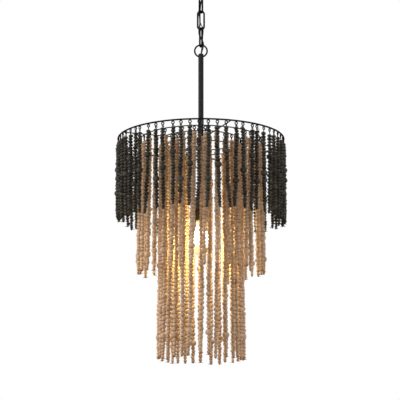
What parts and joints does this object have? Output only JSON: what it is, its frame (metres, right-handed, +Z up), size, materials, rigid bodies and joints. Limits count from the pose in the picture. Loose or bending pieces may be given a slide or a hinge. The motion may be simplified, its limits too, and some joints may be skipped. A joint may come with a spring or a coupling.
{
  "type": "beaded chandelier",
  "caption": "Three-tier chandelier of wooden bead strands on round wire hoops, hung by a tube stem, a ring and a short chain from a round ceiling rose, with one lamp inside.",
  "frame": {"origin": "the point on the ceiling straight above the stem, in the plane of the mounting strap's top face and the ceiling rose's rim", "axes": "+Z up into the ceiling, +X to the right and -Y toward the viewer in the reference picture"},
  "size_m": [0.5008, 0.5008, 1.1686],
  "materials": {
    "zinc_steel": "zinc-plated steel hidden under the ceiling rose",
    "black_metal": "satin black paint on steel",
    "cord_jacket": "brown plastic-covered cord",
    "earth_jacket": "thin black insulated wire",
    "socket_ceramic": "white glazed porcelain",
    "bulb_cap": "plain screw cap",
    "bulb_glass": null,
    "charcoal_beads": "charcoal-stained wood beads, matt, with the brown grain showing",
    "natural_beads": "natural tan wood beads, dull wax finish"
  },
  "bodies": {
    "ceiling_mount": {"mounting_strap": "zinc_steel", "nipple_locknut": "zinc_steel", "strap_nipple": "zinc_steel", "canopy": "black_metal", "canopy_collar": "black_metal", "canopy_loop": "black_metal", "supply_cord": "cord_jacket", "earth_wire": "earth_jacket"},
    "link_1": {"chain_link_1": "black_metal"},
    "link_2": {"chain_link_2": "black_metal"},
    "link_3": {"chain_link_3": "black_metal"},
    "ring": {"stem_ring": "black_metal"},
    "frame": {"stem": "black_metal", "hub": "black_metal", "hub_nut": "black_metal", "spoke_1": "black_metal", "spoke_2": "black_metal", "spoke_3": "black_metal", "spoke_4": "black_metal", "outer_hoop": "black_metal", "middle_hoop": "black_metal", "inner_hoop": "black_metal", "lamp_rod": "black_metal", "lamp_holder_cup": "black_metal", "lamp_socket": "socket_ceramic", "bulb_base": "bulb_cap", "bulb_glass": "bulb_glass"},
    "outer_strands_01": {"outer_strands_01": "charcoal_beads"},
    "outer_strands_02": {"outer_strands_02": "charcoal_beads"},
    "outer_strands_03": {"outer_strands_03": "charcoal_beads"},
    "outer_strands_04": {"outer_strands_04": "charcoal_beads"},
    "outer_strands_05": {"outer_strands_05": "charcoal_beads"},
    "outer_strands_06": {"outer_strands_06": "charcoal_beads"},
    "outer_strands_07": {"outer_strands_07": "charcoal_beads"},
    "outer_strands_08": {"outer_strands_08": "charcoal_beads"},
    "outer_strands_09": {"outer_strands_09": "charcoal_beads"},
    "outer_strands_10": {"outer_strands_10": "charcoal_beads"},
    "outer_strands_11": {"outer_strands_11": "charcoal_beads"},
    "outer_strands_12": {"outer_strands_12": "charcoal_beads"},
    "middle_strands_01": {"middle_strands_01": "natural_beads"},
    "middle_strands_02": {"middle_strands_02": "natural_beads"},
    "middle_strands_03": {"middle_strands_03": "natural_beads"},
    "middle_strands_04": {"middle_strands_04": "natural_beads"},
    "middle_strands_05": {"middle_strands_05": "natural_beads"},
    "middle_strands_06": {"middle_strands_06": "natural_beads"},
    "middle_strands_07": {"middle_strands_07": "natural_beads"},
    "middle_strands_08": {"middle_strands_08": "natural_beads"},
    "middle_strands_09": {"middle_strands_09": "natural_beads"},
    "middle_strands_10": {"middle_strands_10": "natural_beads"},
    "middle_strands_11": {"middle_strands_11": "natural_beads"},
    "middle_strands_12": {"middle_strands_12": "natural_beads"},
    "inner_strands_01": {"inner_strands_01": "natural_beads"},
    "inner_strands_02": {"inner_strands_02": "natural_beads"},
    "inner_strands_03": {"inner_strands_03": "natural_beads"},
    "inner_strands_04": {"inner_strands_04": "natural_beads"},
    "inner_strands_05": {"inner_strands_05": "natural_beads"},
    "inner_strands_06": {"inner_strands_06": "natural_beads"},
    "inner_strands_07": {"inner_strands_07": "natural_beads"},
    "inner_strands_08": {"inner_strands_08": "natural_beads"}
  },
  "joints": [
    {"name": "loop_to_link_1", "type": "hinge", "parent": "ceiling_mount", "child": "link_1", "pos_m": [0, 0, -0.081], "axis": [0.8829, -0.4695, 0], "range_deg": [-20, 20], "deforming": ["supply_cord", "earth_wire"]},
    {"name": "link_1_to_link_2", "type": "hinge", "parent": "link_1", "child": "link_2", "pos_m": [0, 0, -0.1336], "axis": [0.4695, 0.8829, 0], "range_deg": [-20, 20]},
    {"name": "link_2_to_link_3", "type": "hinge", "parent": "link_2", "child": "link_3", "pos_m": [0, 0, -0.1862], "axis": [1, 0, 0], "range_deg": [-20, 20]},
    {"name": "link_3_to_ring", "type": "hinge", "parent": "link_3", "child": "ring", "pos_m": [0, 0, -0.2388], "axis": [0.342, -0.9397, 0], "range_deg": [-20, 20]},
    {"name": "ring_to_stem", "type": "hinge", "parent": "ring", "child": "frame", "pos_m": [0, 0, -0.2705], "axis": [1, 0, 0], "range_deg": [-20, 20]},
    {"name": "outer_strands_01_swing", "type": "hinge", "parent": "frame", "child": "outer_strands_01", "pos_m": [0.04457, -0.23366, -0.527], "axis": [-0.9823, -0.1874, 0], "range_deg": [-3, 30]},
    {"name": "outer_strands_02_swing", "type": "hinge", "parent": "frame", "child": "outer_strands_02", "pos_m": [0.15543, -0.18007, -0.527], "axis": [-0.757, -0.6534, 0], "range_deg": [-3, 30]},
    {"name": "outer_strands_03_swing", "type": "hinge", "parent": "frame", "child": "outer_strands_03", "pos_m": [0.22464, -0.07823, -0.527], "axis": [-0.3289, -0.9444, 0], "range_deg": [-3, 30]},
    {"name": "outer_strands_04_swing", "type": "hinge", "parent": "frame", "child": "outer_strands_04", "pos_m": [0.23366, 0.04457, -0.527], "axis": [0.1874, -0.9823, 0], "range_deg": [-3, 30]},
    {"name": "outer_strands_05_swing", "type": "hinge", "parent": "frame", "child": "outer_strands_05", "pos_m": [0.18007, 0.15543, -0.527], "axis": [0.6534, -0.757, 0], "range_deg": [-3, 30]},
    {"name": "outer_strands_06_swing", "type": "hinge", "parent": "frame", "child": "outer_strands_06", "pos_m": [0.07823, 0.22464, -0.527], "axis": [0.9444, -0.3289, 0], "range_deg": [-3, 30]},
    {"name": "outer_strands_07_swing", "type": "hinge", "parent": "frame", "child": "outer_strands_07", "pos_m": [-0.04457, 0.23366, -0.527], "axis": [0.9823, 0.1874, 0], "range_deg": [-3, 30]},
    {"name": "outer_strands_08_swing", "type": "hinge", "parent": "frame", "child": "outer_strands_08", "pos_m": [-0.15543, 0.18007, -0.527], "axis": [0.757, 0.6534, 0], "range_deg": [-3, 30]},
    {"name": "outer_strands_09_swing", "type": "hinge", "parent": "frame", "child": "outer_strands_09", "pos_m": [-0.22464, 0.07823, -0.527], "axis": [0.3289, 0.9444, 0], "range_deg": [-3, 30]},
    {"name": "outer_strands_10_swing", "type": "hinge", "parent": "frame", "child": "outer_strands_10", "pos_m": [-0.23366, -0.04457, -0.527], "axis": [-0.1874, 0.9823, 0], "range_deg": [-3, 30]},
    {"name": "outer_strands_11_swing", "type": "hinge", "parent": "frame", "child": "outer_strands_11", "pos_m": [-0.18007, -0.15543, -0.527], "axis": [-0.6534, 0.757, 0], "range_deg": [-3, 30]},
    {"name": "outer_strands_12_swing", "type": "hinge", "parent": "frame", "child": "outer_strands_12", "pos_m": [-0.07823, -0.22464, -0.527], "axis": [-0.9444, 0.3289, 0], "range_deg": [-3, 30]},
    {"name": "middle_strands_01_swing", "type": "hinge", "parent": "frame", "child": "middle_strands_01", "pos_m": [0.04215, -0.16904, -0.5276], "axis": [-0.9703, -0.2419, 0], "range_deg": [-2, 6]},
    {"name": "middle_strands_02_swing", "type": "hinge", "parent": "frame", "child": "middle_strands_02", "pos_m": [0.12102, -0.12532, -0.5276], "axis": [-0.7193, -0.6947, 0], "range_deg": [-2, 6]},
    {"name": "middle_strands_03_swing", "type": "hinge", "parent": "frame", "child": "middle_strands_03", "pos_m": [0.16747, -0.04802, -0.5276], "axis": [-0.2756, -0.9613, 0], "range_deg": [-2, 6]},
    {"name": "middle_strands_04_swing", "type": "hinge", "parent": "frame", "child": "middle_strands_04", "pos_m": [0.16904, 0.04215, -0.5276], "axis": [0.2419, -0.9703, 0], "range_deg": [-2, 6]},
    {"name": "middle_strands_05_swing", "type": "hinge", "parent": "frame", "child": "middle_strands_05", "pos_m": [0.12532, 0.12102, -0.5276], "axis": [0.6947, -0.7193, 0], "range_deg": [-2, 6]},
    {"name": "middle_strands_06_swing", "type": "hinge", "parent": "frame", "child": "middle_strands_06", "pos_m": [0.04802, 0.16747, -0.5276], "axis": [0.9613, -0.2756, 0], "range_deg": [-2, 6]},
    {"name": "middle_strands_07_swing", "type": "hinge", "parent": "frame", "child": "middle_strands_07", "pos_m": [-0.04215, 0.16904, -0.5276], "axis": [0.9703, 0.2419, 0], "range_deg": [-2, 6]},
    {"name": "middle_strands_08_swing", "type": "hinge", "parent": "frame", "child": "middle_strands_08", "pos_m": [-0.12102, 0.12532, -0.5276], "axis": [0.7193, 0.6947, 0], "range_deg": [-2, 6]},
    {"name": "middle_strands_09_swing", "type": "hinge", "parent": "frame", "child": "middle_strands_09", "pos_m": [-0.16747, 0.04802, -0.5276], "axis": [0.2756, 0.9613, 0], "range_deg": [-2, 6]},
    {"name": "middle_strands_10_swing", "type": "hinge", "parent": "frame", "child": "middle_strands_10", "pos_m": [-0.16904, -0.04215, -0.5276], "axis": [-0.2419, 0.9703, 0], "range_deg": [-2, 6]},
    {"name": "middle_strands_11_swing", "type": "hinge", "parent": "frame", "child": "middle_strands_11", "pos_m": [-0.12532, -0.12102, -0.5276], "axis": [-0.6947, 0.7193, 0], "range_deg": [-2, 6]},
    {"name": "middle_strands_12_swing", "type": "hinge", "parent": "frame", "child": "middle_strands_12", "pos_m": [-0.04802, -0.16747, -0.5276], "axis": [-0.9613, 0.2756, 0], "range_deg": [-2, 6]},
    {"name": "inner_strands_01_swing", "type": "hinge", "parent": "frame", "child": "inner_strands_01", "pos_m": [0.03381, -0.10806, -0.5276], "axis": [-0.9544, -0.2986, 0], "range_deg": [-0.5, 3]},
    {"name": "inner_strands_02_swing", "type": "hinge", "parent": "frame", "child": "inner_strands_02", "pos_m": [0.10032, -0.0525, -0.5276], "axis": [-0.4637, -0.886, 0], "range_deg": [-0.5, 3]},
    {"name": "inner_strands_03_swing", "type": "hinge", "parent": "frame", "child": "inner_strands_03", "pos_m": [0.10806, 0.03381, -0.5276], "axis": [0.2986, -0.9544, 0], "range_deg": [-0.5, 3]},
    {"name": "inner_strands_04_swing", "type": "hinge", "parent": "frame", "child": "inner_strands_04", "pos_m": [0.0525, 0.10032, -0.5276], "axis": [0.886, -0.4637, 0], "range_deg": [-0.5, 3]},
    {"name": "inner_strands_05_swing", "type": "hinge", "parent": "frame", "child": "inner_strands_05", "pos_m": [-0.03381, 0.10806, -0.5276], "axis": [0.9544, 0.2986, 0], "range_deg": [-0.5, 3]},
    {"name": "inner_strands_06_swing", "type": "hinge", "parent": "frame", "child": "inner_strands_06", "pos_m": [-0.10032, 0.0525, -0.5276], "axis": [0.4637, 0.886, 0], "range_deg": [-0.5, 3]},
    {"name": "inner_strands_07_swing", "type": "hinge", "parent": "frame", "child": "inner_strands_07", "pos_m": [-0.10806, -0.03381, -0.5276], "axis": [-0.2986, 0.9544, 0], "range_deg": [-0.5, 3]},
    {"name": "inner_strands_08_swing", "type": "hinge", "parent": "frame", "child": "inner_strands_08", "pos_m": [-0.0525, -0.10032, -0.5276], "axis": [-0.886, 0.4637, 0], "range_deg": [-0.5, 3]}
  ]
}
